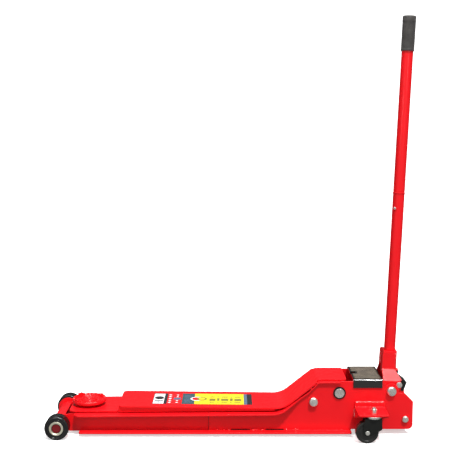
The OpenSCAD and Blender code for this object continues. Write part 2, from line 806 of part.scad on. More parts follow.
module upper_handle_tube() color(red) in_handle()
    tube_length(joint_u, handle_length - grip_cap, true, false);

module handle_spigot() color(steel) in_handle() difference() {
    translate([0, 0, joint_u - spigot_reach]) cylinder(r = spigot_r, h = 2 * spigot_reach);
    translate([0, 0, joint_u - spigot_reach - 1])
        cylinder(r = spigot_r - spigot_wall, h = 2 * spigot_reach + 2);
    button_hole(button_d / 2 + 0.2);
}

module handle_grip() color(black) in_handle() difference() {
    translate([0, 0, handle_length - grip_length]) rotate_extrude() polygon(rounded([
        [0, 0, 0], [tube_r + grip_wall, 0, 2], [tube_r + grip_wall, grip_length, 5],
        [0, grip_length, 0]]));
    translate([0, 0, handle_length - grip_length - 1])
        cylinder(r = tube_r, h = grip_length - grip_cap + 1);
}

module drive_cup() color(steel) in_handle() difference() {
    union() {
        cylinder(r = cup_r, h = 14);
        translate([0, 0, 14]) cylinder(r = 7, h = sleeve_low - 14);
        translate([0, 0, sleeve_low]) cylinder(r = bore_r, h = 10);
    }
    translate([0, 0, -1]) cylinder(r = cup_bore_r, h = 11);
}

module snap_button() color(zinc) in_handle() translate([0, 0, button_u])
    rotate([0, 0, button_turn]) rotate([0, 90, 0]) rotate_extrude() polygon(rounded([
        [0, 7, 0], [6, 7, 0], [6, 9, 0], [button_d / 2, 9, 0],
        [button_d / 2, tube_r + 4, 2], [0, tube_r + 4, 0]]));

module release_spindle() color(steel) valve_axis() {
    sphere(r = ball_r);
    cylinder(r = neck_r, h = valve_seat + 4);
}

module pump_piston() color(zinc) translate([pump_x, 0, 0]) {
    translate([0, 0, pump_bore_z + 36]) cylinder(d = plunger_d, h = head_top - pump_bore_z - 36);
    translate([0, 0, head_top - head_h]) cylinder(r = head_r, h = head_h);
}

module pump_spring() color(zinc) translate([pump_x, 0, block_top + barrel_h]) difference() {
    spring_h = head_top - head_h - block_top - barrel_h;
    cylinder(r = head_r - 0.5, h = spring_h);
    translate([0, 0, -1]) cylinder(r = plunger_d / 2 + 0.4, h = spring_h + 2);
}

// ---- Wheels and casters ----

module front_wheel(side) color(black) on_side(side)
    translate([axle_x, wheel_in, axle_z]) rotate([-90, 0, 0]) rotate_extrude() {
        r = front_wheel_d / 2;
        polygon(rounded([[bush_r, 0, 0], [r, 0, 5], [r, front_wheel_w, 5],
            [bush_r, front_wheel_w, 0]]));
    }

module wheel_bush(side) color(cream) on_side(side) difference() {
    bar_y(axle_x, axle_z, 2 * bush_r, wheel_in - bush_proud + 0.5, wheel_out + bush_proud);
    bar_y(axle_x, axle_z, axle_d + 2 * running, wheel_in - 2, wheel_out + 2);
    bar_y(axle_x, axle_z, axle_d + 4, clip_y - 0.3, wheel_out + 2);
}

caster_x = swivel_x - caster_trail;
caster_r = caster_wheel_d / 2;
fork_in = caster_wheel_w / 2 + fork_gap;
fork_out = fork_in + fork_t;
race_d = 50;
race_t = 7;
race_gap = 0.3;
crown_top = shelf_z - race_t - race_gap;
crown_t = 4;

module caster_fork(side) color(black) on_side(side) translate([0, caster_y, 0]) {
    difference() {
        union() {
            for (y = [-fork_out, fork_in]) across(y, y + fork_t) polygon(rounded([
                [caster_x - 13, caster_r - 10, 10], [caster_x + 13, caster_r - 10, 10],
                [swivel_x + 26, crown_top - 36, 8], [swivel_x + 24, crown_top, 0],
                [swivel_x - 30, crown_top, 0], [caster_x - 13, crown_top - 18, 8]]));
            translate([swivel_x - 30, -fork_out, crown_top - crown_t])
                cube([54, 2 * fork_out, crown_t]);
        }
        bar_y(caster_x, caster_r, caster_axle_d, -fork_out - 1, fork_out + 1);
        translate([swivel_x, 0, crown_top - crown_t - 1])
            cylinder(r = king_d / 2 + running, h = crown_t + 2);
    }
}

// Each king pin is bolted through its shelf, with the swivel race under the shelf and a
// head under the fork's crown; the fork turns on it
module king_pins() color(zinc) both_sides() translate([swivel_x, caster_y, 0]) {
    head_z = crown_top - crown_t - race_gap - 4;
    translate([0, 0, head_z]) cylinder(d = king_d + 8, h = 4);
    translate([0, 0, head_z]) cylinder(d = king_d, h = shelf_z + shelf_t + 21 - head_z);
    translate([0, 0, shelf_z - race_t]) cylinder(d = race_d, h = race_t);
    translate([0, 0, shelf_z + shelf_t]) cylinder(d = 22, h = 15, $fn = 6);
}

module caster_axle(side) color(zinc) on_side(side) translate([0, caster_y, 0]) {
    bar_y(caster_x, caster_r, caster_axle_d, -fork_out, fork_out);
    for (turn = [0, 180]) rotate([0, 0, turn]) {
        sign_x = turn == 0 ? 1 : -1;
        domed_head(sign_x * caster_x, caster_r, caster_axle_d / 2 + 2.5, 4, fork_out);
    }
}

module caster_wheel(side) color(black) on_side(side)
    translate([caster_x, caster_y - caster_wheel_w / 2, caster_r]) rotate([-90, 0, 0])
        rotate_extrude() polygon(rounded([
            [caster_axle_d / 2 + running, 0, 0], [caster_r, 0, 4],
            [caster_r, caster_wheel_w, 4], [caster_axle_d / 2 + running, caster_wheel_w, 0]]));

front_rail(-1);  // left_front_rail
front_rail(1);  // right_front_rail
side_plate(-1);  // left_side_plate
side_plate(1);  // right_side_plate
front_axle();
axle_spacers();
cross_plates();
caster_shelf(-1);  // left_caster_shelf
caster_shelf(1);  // right_caster_shelf
top_cover();
arm_pivot_shaft();
retaining_rings();
rod_anchor_pin();
handle_pivot_bolts();
rear_tie_bolt();
block_spacers();
pump_block();
reservoir_tube();
cylinder_gland();
filler_plug();
pump_barrel();
release_valve_gland();
return_springs();
arm_beams();
arm_skirts();
arm_cover();
arm_hub_tube();
crank_pin();
crank_roller();
saddle_carrier();
carrier_pins();
saddle();
levelling_rods();
ram();
ram_head();
handle_yoke();
roller_pin();
pump_roller();
roller_bracket();
retaining_screw();
lower_handle_tube();
upper_handle_tube();
handle_spigot();
handle_grip();
drive_cup();
snap_button();
release_spindle();
pump_piston();
pump_spring();
front_wheel(-1);  // left_front_wheel
front_wheel(1);  // right_front_wheel
wheel_bush(-1);  // left_wheel_bush
wheel_bush(1);  // right_wheel_bush
caster_fork(-1);  // left_caster_fork
caster_fork(1);  // right_caster_fork
caster_axle(-1);  // left_caster_axle
caster_axle(1);  // right_caster_axle
caster_wheel(-1);  // left_caster_wheel
caster_wheel(1);  // right_caster_wheel
king_pins();
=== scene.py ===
"""Looks of a long-chassis trolley jack, built around its CAD parts.

+X points to the handle end, +Y to the right, +Z up, in metres. Left is the -Y side.
"""

import json
import math

import bmesh
import bpy
from bpy.props import FloatProperty, FloatVectorProperty, IntProperty, PointerProperty
from mathutils import Matrix, Vector


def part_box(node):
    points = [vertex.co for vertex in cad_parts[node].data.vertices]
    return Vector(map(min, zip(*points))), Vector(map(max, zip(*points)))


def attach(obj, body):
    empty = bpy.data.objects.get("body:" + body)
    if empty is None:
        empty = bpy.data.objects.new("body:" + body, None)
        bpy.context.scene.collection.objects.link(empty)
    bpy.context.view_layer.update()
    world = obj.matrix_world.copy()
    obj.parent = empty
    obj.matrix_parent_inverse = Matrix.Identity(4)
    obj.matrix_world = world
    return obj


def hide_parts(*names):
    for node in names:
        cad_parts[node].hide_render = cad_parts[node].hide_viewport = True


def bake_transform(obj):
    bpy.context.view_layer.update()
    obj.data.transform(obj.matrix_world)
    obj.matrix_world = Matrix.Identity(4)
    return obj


bl_info = {
    "name": "Trolley Jack Looks",
    "version": (1, 0, 0),
    "blender": (4, 5, 0),
    "location": "View3D > Sidebar > Jack",
    "description": "Builds the finished look of a long-chassis trolley jack",
    "category": "Object",
}

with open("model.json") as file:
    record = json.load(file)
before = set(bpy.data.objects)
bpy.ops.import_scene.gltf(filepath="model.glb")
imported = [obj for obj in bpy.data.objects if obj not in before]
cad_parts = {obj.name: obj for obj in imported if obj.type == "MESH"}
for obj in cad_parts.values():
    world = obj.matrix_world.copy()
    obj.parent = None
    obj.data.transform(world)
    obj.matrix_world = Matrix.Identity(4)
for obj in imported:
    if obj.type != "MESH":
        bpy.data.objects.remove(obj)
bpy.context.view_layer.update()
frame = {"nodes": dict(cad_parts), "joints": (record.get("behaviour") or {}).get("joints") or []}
NODES = frame["nodes"]
MM = 0.001
TURN = 2 * math.pi
SIDES = (("left", -1), ("right", 1))

MERGE_DISTANCE = 1e-6
SMOOTH_ANGLE = math.radians(35)
FLAT_ANGLE = math.radians(0.4)
EDGE_ANGLE = math.radians(38)

# Places on the CAD parts that their boxes don't give.
TUBE_R = 0.019
RAIL_OUT = 0.078
COVER_FRONT_Z = 0.101
COVER_REAR_Z = 0.0947
COVER_RUN = 0.549
COVER_SLOPE = (COVER_REAR_Z - COVER_FRONT_Z) / COVER_RUN


# ---- Sizes and colours ----

def colour(name, description, default):
    return FloatVectorProperty(name=name, description=description, default=default,
                               subtype="COLOR", size=3, min=0, max=1)


def length(name, description, default, low, high):
    return FloatProperty(name=name, description=description, default=default,
                         min=low, max=high, unit="LENGTH", precision=4)


class JackColours(bpy.types.PropertyGroup):
    """Colours of the jack's finishes"""
    red: colour("Red enamel", "Main paint", (0.78, 0.006, 0.011))
    red_shade: colour("Red enamel, thin", "Paint where it lies thin", (0.72, 0.005, 0.009))
    dark_red: colour("Primer red", "Paint on the axle ends", (0.27, 0.009, 0.012))
    black: colour("Black enamel", "Paint on the cover, guard and forks", (0.006, 0.007, 0.006))
    rubber: colour("Grip rubber", "Rubber of the grip", (0.024, 0.021, 0.019))
    zinc: colour("Zinc plate", "Plated pins and bolts", (0.86, 0.85, 0.79))
    steel: colour("Bare steel", "Turned and drawn steel", (0.42, 0.42, 0.42))
    cream: colour("Pale bush", "Bushes of the front wheels", (0.90, 0.88, 0.70))
    cast: colour("Cast iron", "Pump block and reservoir", (0.075, 0.080, 0.085))
    yellow: colour("Label yellow", "Long band of the label", (0.80, 0.68, 0.02))


class JackSizes(bpy.types.PropertyGroup):
    """Sizes of the details that the CAD parts don't carry"""
    edge: length("Edge rounding", "Rounding of cut plate edges", 0.0008, 0.0001, 0.003)
    weld: length("Weld bead", "Radius of the weld beads", 0.0028, 0.001, 0.005)
    wire: length("Spring wire", "Diameter of the return springs' wire", 0.0022, 0.001, 0.004)
    rib: length("Grip rib", "Distance between the grip's ribs", 0.0038, 0.002, 0.008)
    rib_depth: length("Grip rib depth", "Depth of the grip's ribs", 0.0007, 0.0001, 0.002)
    label_t: length("Label thickness", "Thickness of the label", 0.0003, 0.0001, 0.001)
    coils: IntProperty(name="Coils", description="Turns of each return spring", default=26,
                       min=6, max=60)


def colours():
    return bpy.context.scene.jack_colours


def sizes():
    return bpy.context.scene.jack_sizes


# ---- Materials ----

class Finish:
    """A node material being put together, with patterns on Object coordinates."""

    def __init__(self, name):
        self.material = bpy.data.materials.new(name)
        self.material.use_nodes = True
        self.tree = self.material.node_tree
        self.shader = self.tree.nodes["Principled BSDF"]
        self.place = self.tree.nodes.new("ShaderNodeTexCoord").outputs["Object"]

    def add(self, kind, values=None, links=None, **settings):
        node = self.tree.nodes.new("ShaderNode" + kind)
        for key, value in settings.items():
            setattr(node, key, value)
        for key, value in (values or {}).items():
            node.inputs[key].default_value = value
        for key, socket in (links or {}).items():
            self.tree.links.new(socket, node.inputs[key])
        return node

    def stretched(self, scale):
        return self.add("Mapping", {"Scale": scale}, {"Vector": self.place}).outputs[0]

    def noise(self, scale, detail, stretch=None):
        place = self.stretched(stretch) if stretch else self.place
        return self.add("TexNoise", {"Scale": scale, "Detail": detail},
                        {"Vector": place}).outputs["Fac"]

    def ranged(self, socket, low, high, from_low=0.3, from_high=0.7):
        return self.add("MapRange", {"From Min": from_low, "From Max": from_high,
                                     "To Min": low, "To Max": high},
                        {"Value": socket}).outputs["Result"]

    def blended(self, socket, first, second):
        node = self.add("Mix", data_type="RGBA")
        for index, value in ((6, first), (7, second)):
            if isinstance(value, bpy.types.NodeSocket):
                self.tree.links.new(value, node.inputs[index])
            else:
                node.inputs[index].default_value = (*value, 1)
        self.tree.links.new(socket, node.inputs[0])
        return node.outputs[2]

    def drive(self, socket_name, socket):
        self.tree.links.new(socket, self.shader.inputs[socket_name])

    def hold(self, **values):
        for key, value in values.items():
            self.shader.inputs[key.replace("_", " ")].default_value = value

    def bumps(self, *layers):
        """Each layer is a height socket and its depth in metres."""
        normal = None
        for socket, depth in layers:
            links = {"Height": socket}
            if normal is not None:
                links["Normal"] = normal
            normal = self.add("Bump", {"Strength": 1.0, "Distance": depth}, links).outputs[0]
        self.drive("Normal", normal)


def enamel(name, main, thin, roughness=(0.30, 0.42), coat=0.08):
    """Sprayed paint on plate, a little uneven in colour and gloss."""
    f = Finish(name)
    patches = f.ranged(f.noise(9, 4), 0, 1)
    f.drive("Base Color", f.blended(patches, main, thin))
    f.drive("Roughness", f.ranged(f.noise(55, 4), *roughness))
    f.hold(Coat_Weight=coat, Coat_Roughness=0.12, Specular_IOR_Level=0.22)
    f.bumps((f.noise(260, 2), 0.00005), (f.noise(28, 2), 0.00035))
    return f.material


def weld_enamel(name, main, thin):
    """Glossy paint over the ripples of a weld."""
    f = Finish(name)
    f.drive("Base Color", f.blended(f.ranged(f.noise(160, 4), 0, 1), main, thin))
    f.drive("Roughness", f.ranged(f.noise(300, 3), 0.12, 0.26))
    f.hold(Coat_Weight=1.0, Coat_Roughness=0.05, Coat_IOR=1.8)
    f.bumps((f.noise(900, 3), 0.00025), (f.noise(260, 2), 0.0006))
    return f.material


def casting(name, main, thin, roughness=(0.34, 0.5), coat=0.15):
    """Paint or bare skin on a rough casting."""
    f = Finish(name)
    f.drive("Base Color", f.blended(f.ranged(f.noise(60, 5), 0, 1), main, thin))
    f.drive("Roughness", f.ranged(f.noise(240, 3), *roughness))
    f.hold(Coat_Weight=coat, Coat_Roughness=0.15, Specular_IOR_Level=0.3)
    f.bumps((f.noise(750, 3), 0.00035), (f.noise(190, 3), 0.0008))
    return f.material


def plated(name, tint, roughness=(0.22, 0.4)):
    """Plating with duller patches."""
    f = Finish(name)
    dull = tuple(channel * 0.72 for channel in tint)
    f.drive("Base Color", f.blended(f.ranged(f.noise(70, 5), 0, 1), tint, dull))
    f.drive("Roughness", f.ranged(f.noise(320, 4), *roughness))
    f.hold(Metallic=1.0)
    f.bumps((f.noise(1500, 2), 0.00004), (f.noise(180, 3), 0.00012))
    return f.material


def turned_steel(name, tint, stretch, roughness=(0.2, 0.36)):
    """Steel with fine marks drawn along one axis."""
    f = Finish(name)
    marks = f.noise(30, 5, stretch)
    dull = tuple(channel * 0.7 for channel in tint)
    f.drive("Base Color", f.blended(f.ranged(marks, 0, 1), tint, dull))
    f.drive("Roughness", f.ranged(marks, *roughness))
    f.hold(Metallic=1.0)
    f.bumps((marks, 0.00006))
    return f.material


def moulded(name, tint, roughness, grain=700, depth=0.0002, sheen=0.0):
    """Rubber or plastic with a fine grain."""
    f = Finish(name)
    pale = tuple(channel * 1.9 + 0.006 for channel in tint)
    f.drive("Base Color", f.blended(f.ranged(f.noise(35, 5), 0, 1, 0.4, 0.8), tint, pale))
    f.drive("Roughness", f.ranged(f.noise(150, 4), *roughness))
    f.hold(Sheen_Weight=sheen, Sheen_Roughness=0.4)
    f.bumps((f.noise(grain, 2), depth), (f.noise(60, 2), 0.0002))
    return f.material


def printed(name, tint):
    """Printed film, a little faded in places."""
    f = Finish(name)
    faded = tuple(min(1, channel * 0.86 + 0.01) for channel in tint)
    f.drive("Base Color", f.blended(f.ranged(f.noise(45, 4), 0, 1), tint, faded))
    f.drive("Roughness", f.ranged(f.noise(90, 3), 0.26, 0.40))
    f.hold(Coat_Weight=0.3, Coat_Roughness=0.12)
    f.bumps((f.noise(300, 2), 0.00005))
    return f.material


# Scales that draw a noise out into marks along an axis.
ALONG_X = (0.3, 12, 12)
ALONG_Y = (12, 0.3, 12)
MATERIALS = {}


def make_materials():
    """Fills MATERIALS; the CAD parts' slots find theirs in it by name."""
    c = colours()
    red, thin = tuple(c.red), tuple(c.red_shade)
    MATERIALS.update({
        "red_paint": enamel("red_enamel", red, thin),
        "weld_paint": weld_enamel("red_enamel_on_weld", red, thin),
        "dark_red_paint": enamel("primer_red", tuple(c.dark_red), (0.10, 0.006, 0.008)),
        "red_casting": casting("red_enamel_on_casting", red, thin, (0.22, 0.36), 0.2),
        "zinc_plate": plated("zinc_plate", tuple(c.zinc)),
        "bare_steel": turned_steel("bare_steel", tuple(c.steel), ALONG_Y),
        "ram_chrome": turned_steel("ram_chrome", (0.72, 0.73, 0.75), ALONG_X, (0.08, 0.18)),
        "spring_steel": plated("spring_steel", (0.30, 0.29, 0.27), (0.3, 0.48)),
        "black_paint": enamel("black_enamel", tuple(c.black), (0.009, 0.009, 0.008),
                              (0.3, 0.42), 0.05),
        "grey_casting": casting("grey_casting", tuple(c.cast), (0.045, 0.048, 0.052)),
        "cover_rubber": enamel("cover_black", tuple(c.black), (0.009, 0.009, 0.008),
                               (0.10, 0.2), 1.0),
        # The cover mat's brown-grey colour is painted reflection: it stands in for the glancing
        # sheen of light on the black top cover.
        "cover_mat": moulded("cover_mat", (0.125, 0.100, 0.072), (0.42, 0.6)),
        "grip_rubber": moulded("grip_rubber", tuple(c.rubber), (0.5, 0.7), 900, 0.0003, 0.4),
        "wheel_black": moulded("wheel_black", (0.004, 0.004, 0.004), (0.12, 0.24), 300, 0.0001),
        "caster_nylon": moulded("caster_nylon", (0.006, 0.006, 0.005), (0.26, 0.42)),
        "bush_yellow_zinc": plated("pale_bush", tuple(c.cream), (0.35, 0.55)),
    })


# ---- Shapes ----

def face_outward(bm):
    """Turns each closed shell the right way out, by the sign of its volume."""
    loose = set(bm.faces)
    while loose:
        shell, queue = [], [loose.pop()]
        while queue:
            face = queue.pop()
            shell.append(face)
            near = {f for e in face.edges for f in e.link_faces} & loose
            loose -= near
            queue += near
        start = shell[0].verts[0].co.copy()
        volume = 0
        for face in shell:
            corners = [v.co - start for v in face.verts]
            for first, second in zip(corners[1:], corners[2:]):
                volume += corners[0].dot(first.cross(second))
        if volume < 0:
            bmesh.ops.reverse_faces(bm, faces=shell)


def mesh_object(name, bm):
    """Links a bmesh into the scene as an object and frees it."""
    mesh = bpy.data.meshes.new(name)
    bm.to_mesh(mesh)
    bm.free()
    made = bpy.data.objects.new(name, mesh)
    bpy.context.scene.collection.objects.link(made)
    return made


def finished(name, bm, body, finish, replaces=(), merge=MERGE_DISTANCE):
    """Makes a bmesh into a finished piece. It rides on a body, unless body is None."""
    bmesh.ops.remove_doubles(bm, verts=bm.verts, dist=merge)
    bmesh.ops.recalc_face_normals(bm, faces=bm.faces)
    face_outward(bm)
    piece = mesh_object(name, bm)
    mesh = piece.data
    mesh.polygons.foreach_set("use_smooth", [True] * len(mesh.polygons))
    mesh.set_sharp_from_angle(angle=SMOOTH_ANGLE)
    for material in finish if isinstance(finish, list) else [finish]:
        mesh.materials.append(material)
    if body:
        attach(piece, body)
    if replaces:
        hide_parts(*replaces)
    return piece


def turned(bm, outline, centre, axis, steps):
    """Spins an outline of (radius, distance along the axis) round the axis."""
    axis = Vector(axis).normalized()
    out = axis.orthogonal().normalized()
    centre = Vector(centre)
    verts = [bm.verts.new(centre + out * r + axis * d) for r, d in outline]
    edges = [bm.edges.new(pair) for pair in zip(verts, verts[1:])]
    bmesh.ops.spin(bm, geom=verts + edges, cent=centre, axis=axis, angle=TURN, steps=steps,
                   use_merge=True)
    bmesh.ops.remove_doubles(bm, verts=bm.verts, dist=1e-7)
    bmesh.ops.delete(bm, geom=[e for e in bm.edges if e.is_wire], context="EDGES")


def rounded_outline(corners, steps=4):
    """Corners are (a, b, radius); the ends stay sharp. Returns a finer (a, b) outline."""
    points = [Vector(c[:2]) for c in corners]
    result = []
    for i, (a, b, radius) in enumerate(corners):
        if radius == 0 or i in (0, len(corners) - 1):
            result.append((a, b))
            continue
        here = points[i]
        before = (points[i - 1] - here).normalized()
        after = (points[i + 1] - here).normalized()
        half = before.angle(after) / 2
        start = here + before * radius / math.tan(half)
        end = here + after * radius / math.tan(half)
        for k in range(steps + 1):
            t = k / steps
            p = start.lerp(here, t).lerp(here.lerp(end, t), t)
            result.append((p.x, p.y))
    return result


def block(bm, low, high, rounding=0.0, segments=2):
    """A box between two corners with rounded edges."""
    low, high = Vector(low), Vector(high)
    size, middle = high - low, (low + high) / 2
    place = Matrix.Translation(middle) @ Matrix.Diagonal((*size, 1))
    made = bmesh.ops.create_cube(bm, size=1, matrix=place)["verts"]
    if rounding:
        edges = list({e for v in made for e in v.link_edges})
        bmesh.ops.bevel(bm, geom=edges, offset=rounding, offset_type="OFFSET", affect="EDGES",
                        segments=segments, profile=0.5, material=-1)
    return made


def tube(bm, path, radius, sides=8):
    """Wraps a grid round a path. radius is a number or a function of the path's index."""
    count = len(path)
    made = bmesh.ops.create_grid(bm, x_segments=count - 1, y_segments=sides, size=0.5)["verts"]
    tangents = []
    for i in range(count):
        before, after = path[max(i - 1, 0)], path[min(i + 1, count - 1)]
        tangents.append((after - before).normalized())
    normal = tangents[0].orthogonal().normalized()
    frames = []
    for tangent in tangents:
        normal = (normal - tangent * normal.dot(tangent)).normalized()
        frames.append((normal.copy(), tangent.cross(normal)))
    for v in made:
        i = round((v.co.x + 0.5) * (count - 1))
        turn = TURN * round((v.co.y + 0.5) * sides) / sides
        r = radius(i) if callable(radius) else radius
        a, b = frames[i]
        v.co = path[i] + (a * math.cos(turn) + b * math.sin(turn)) * r
    bmesh.ops.remove_doubles(bm, verts=made, dist=1e-7)
    alive = [v for v in made if v.is_valid]
    rim = {e for v in alive for e in v.link_edges if e.is_boundary}
    bmesh.ops.holes_fill(bm, edges=list(rim), sides=0)


RIPPLE = 0.0024
STEPS_PER_RIPPLE = 3


def weld_bead(bm, points, radius):
    """A rippled bead along straight stretches between points."""
    path = []
    for start, end in zip(points, points[1:]):
        start, end = Vector(start), Vector(end)
        steps = max(2, round((end - start).length * STEPS_PER_RIPPLE / RIPPLE))
        path += [start.lerp(end, k / steps) for k in range(steps)]
    path.append(Vector(points[-1]))
    last = len(path) - 1

    def size(i):
        taper = min(1, (i + 1.2) / 4, (last - i + 1.2) / 4)
        wander = 0.06 * math.sin(i * 0.37) + 0.05 * math.sin(i * 0.113 + 1)
        wave = 0.13 * math.cos(TURN * i / STEPS_PER_RIPPLE)
        return radius * taper * (1 + wander + wave)

    tube(bm, path, size)


def ring_points(centre, axis, radius, steps):
    """Points on a ring, with the first one repeated at the end."""
    axis = Vector(axis).normalized()
    a = axis.orthogonal().normalized()
    b = axis.cross(a)
    centre = Vector(centre)
    return [centre + (a * math.cos(TURN * k / steps) + b * math.sin(TURN * k / steps)) * radius
            for k in range(steps + 1)]


def middle_of(node):
    """Middle of a CAD part's box."""
    low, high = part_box(node)
    return (low + high) / 2


# ---- CAD parts ----

# Each part's share of the edge rounding; thin and small parts take less.
ROUNDED_NODES = {
    "left_front_rail": 1, "right_front_rail": 1, "left_side_plate": 1, "right_side_plate": 1,
    "left_caster_shelf": 1, "right_caster_shelf": 1, "top_cover": 0.6, "arm_cover": 1,
    "arm_skirts": 0.8, "arm_beams": 0.8, "saddle_carrier": 0.8, "handle_yoke": 1,
    "levelling_rods": 1, "roller_bracket": 0.7, "cross_plates": 0.8, "king_pins": 0.7,
    "left_caster_fork": 0.7, "right_caster_fork": 0.7, "pump_block": 1.5, "filler_plug": 0.7,
    "arm_pivot_shaft": 1, "front_axle": 0.8, "retaining_screw": 0.8, "pump_barrel": 0.7,
    "release_valve_gland": 0.6,
}


def soften_edges(node, width):
    """Rounds the cut edges of a CAD part with modifiers; its own mesh stays as it is."""
    part = NODES[node]
    weld = part.modifiers.new("Weld", "WELD")
    weld.merge_threshold = MERGE_DISTANCE
    flat = part.modifiers.new("Flat", "DECIMATE")
    flat.decimate_type = "DISSOLVE"
    flat.angle_limit = FLAT_ANGLE
    bevel = part.modifiers.new("Edges", "BEVEL")
    bevel.width = width
    bevel.segments = 2
    bevel.limit_method = "ANGLE"
    bevel.angle_limit = EDGE_ANGLE
    bevel.use_clamp_overlap = True
    bevel.harden_normals = True


class JACK_OT_cad_parts(bpy.types.Operator):
    """Paints the CAD parts and rounds their cut edges"""
    bl_idname = "jack.cad_parts"
    bl_label = "CAD Parts"

    def execute(self, context):
        make_materials()
        for part in NODES.values():
            for material_slot in part.material_slots:
                material_slot.material = MATERIALS[material_slot.material.name]
        for node, share in ROUNDED_NODES.items():
            soften_edges(node, sizes().edge * share)
        return {"FINISHED"}


# ---- Wheels ----

def wheel_place(node, sign):
    """Centre of a wheel's inner face, its outer radius and its width."""
    low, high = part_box(node)
    inner = min(abs(low.y), abs(high.y))
    centre = ((low.x + high.x) / 2, sign * inner, (low.z + high.z) / 2)
    return centre, (high.z - low.z) / 2, high.y - low.y


class JACK_OT_front_wheels(bpy.types.Operator):
    """Turns the front wheels and their pale bushes"""
    bl_idname = "jack.front_wheels"
    bl_label = "Front Wheels"

    def execute(self, context):
        bore, axle_bore, recess = 0.0235, 0.01405, 0.016
        chamfer, sunk, groove = 0.001, 0.0026, 0.0006
        for side, sign in SIDES:
            body, axis = f"{side}_front_wheel", (0, sign, 0)
            centre, r, w = wheel_place(body, sign)
            outline = rounded_outline([
                (bore, chamfer, 0), (bore + chamfer, 0, 0), (0.033, 0, 0.0004),
                (0.034, 0.0015, 0.0006), (0.0352, 0.0003, 0.0006), (r, 0, 0.004),
                (r, w * 0.42, 0.0003), (r - groove, w * 0.44, 0.0003),
                (r - groove, w * 0.56, 0.0003), (r, w * 0.58, 0.0003), (r, w, 0.0055),
                (0.0335, w, 0.0008), (0.0322, w - sunk, 0.001), (0.0265, w - sunk, 0.001),
                (0.0255, w, 0.0005), (bore + chamfer, w, 0), (bore, w - chamfer, 0),
                (bore, chamfer, 0)])
            bm = bmesh.new()
            turned(bm, outline, centre, axis, 96)
            finished(f"{side}_front_wheel_tread", bm, body, MATERIALS["wheel_black"],
                     [f"{side}_front_wheel"])

            low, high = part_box(f"{side}_wheel_bush")
            end = max(abs(low.y), abs(high.y)) - abs(centre[1])
            step, seat = end - 0.001, end - 0.0066
            outline = rounded_outline([
                (axle_bore, 0, 0), (0.0225, 0, 0.0004), (bore, chamfer, 0),
                (bore, end - 0.0012, 0), (bore - 0.0008, end, 0.0004), (0.0193, end, 0.0005),
                (0.0185, step, 0.0004), (0.0168, step, 0.0004), (recess, end - 0.0022, 0),
                (recess, seat, 0), (axle_bore, seat, 0), (axle_bore, 0, 0)])
            bm = bmesh.new()
            turned(bm, outline, centre, axis, 80)
            finished(f"{side}_front_wheel_bush", bm, body, MATERIALS["bush_yellow_zinc"],
                     [f"{side}_wheel_bush"])
        return {"FINISHED"}


class JACK_OT_caster_wheels(bpy.types.Operator):
    """Turns the caster wheels"""
    bl_idname = "jack.caster_wheels"
    bl_label = "Caster Wheels"

    def execute(self, context):
        bore, sunk = 0.00505, 0.0022
        for side, sign in SIDES:
            body = f"{side}_caster_wheel"
            centre, r, w = wheel_place(body, sign)
            half = [(bore, 0, 0), (0.0125, 0, 0.0008), (0.0135, sunk, 0.001),
                    (0.0275, sunk, 0.001), (0.0288, 0.0004, 0.001), (0.0315, 0, 0.0006),
                    (r - 0.0012, 0.0006, 0.0008), (r, 0.0042, 0.003), (r, w / 2, 0)]
            other = [(a, w - b, c) for a, b, c in reversed(half[:-1])]
            bm = bmesh.new()
            turned(bm, rounded_outline(half + other + [half[0]]), centre, (0, sign, 0), 80)
            finished(f"{side}_caster_tread", bm, body, MATERIALS["caster_nylon"],
                     [body])
        return {"FINISHED"}


# ---- Saddle, grip and cover mat ----

class JACK_OT_saddle(bpy.types.Operator):
    """Builds the cast saddle with its lugs and ribs"""
    bl_idname = "jack.saddle"
    bl_label = "Saddle"

    def execute(self, context):
        low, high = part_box("saddle")
        x, r = (low.x + high.x) / 2, (high.x - low.x) / 2
        floor, rim, under, shoulder = 0.095, 0.102, 0.088, 0.0815
        raised = floor + 0.0012
        bm = bmesh.new()
        turned(bm, rounded_outline([
            (0, low.z, 0), (0.013, low.z, 0.001), (0.015, low.z + 0.002, 0),
            (0.015, shoulder, 0), (0.023, shoulder, 0.0005), (0.023, under, 0.001),
            (r - 0.007, under, 0.004), (r, under + 0.005, 0.002), (r, rim - 0.0015, 0.0012),
            (r - 0.0018, rim, 0.0008), (r - 0.0055, rim, 0.0012), (r - 0.0095, floor, 0.002),
            (0.034, floor, 0.0005), (0.0332, raised, 0.0004), (0.0305, raised, 0.0004),
            (0.0297, floor, 0.0005), (0.014, floor, 0.0005), (0.0132, raised, 0.0004),
            (0.0112, raised, 0.0004), (0.0104, floor, 0.0005), (0, floor, 0)]),
            (x, 0, 0), (0, 0, 1), 96)

        # Reach inwards, half width, top, rounding and its segments.
        lug = (0.0107, 0.0068, high.z, 0.0018, 3)
        tooth = (0.0084, 0.0021, rim + 0.0013, 0.0006, 1)
        for k in range(24):
            place = Matrix.Translation((x, 0, 0)) @ Matrix.Rotation(TURN * k / 24, 4, "Z")
            reach, half, top, rounding, segments = lug if k % 6 == 3 else tooth
            made = block(bm, (r - reach, -half, floor - 0.001), (r - 0.0016, half, top))
            for v in made:
                v.co = place @ v.co
            edges = [e for e in {e for v in made for e in v.link_edges}
                     if (e.verts[0].co.z + e.verts[1].co.z) / 2 > floor]
            bmesh.ops.bevel(bm, geom=edges, offset=rounding, affect="EDGES",
                            segments=segments, profile=0.5, material=-1)

        for k in range(12):
            place = Matrix.Translation((x, 0, 0)) @ Matrix.Rotation(TURN * k / 12, 4, "Z")
            for v in block(bm, (0.0165, -0.0014, floor - 0.001), (0.0275, 0.0014, floor + 0.002)):
                v.co = place @ v.co
        finished("saddle_dish", bm, "saddle", MATERIALS["red_casting"],
                 ["saddle"])
        return {"FINISHED"}


def joint_named(name):
    return next(joint for joint in frame["joints"] if joint["name"] == name)


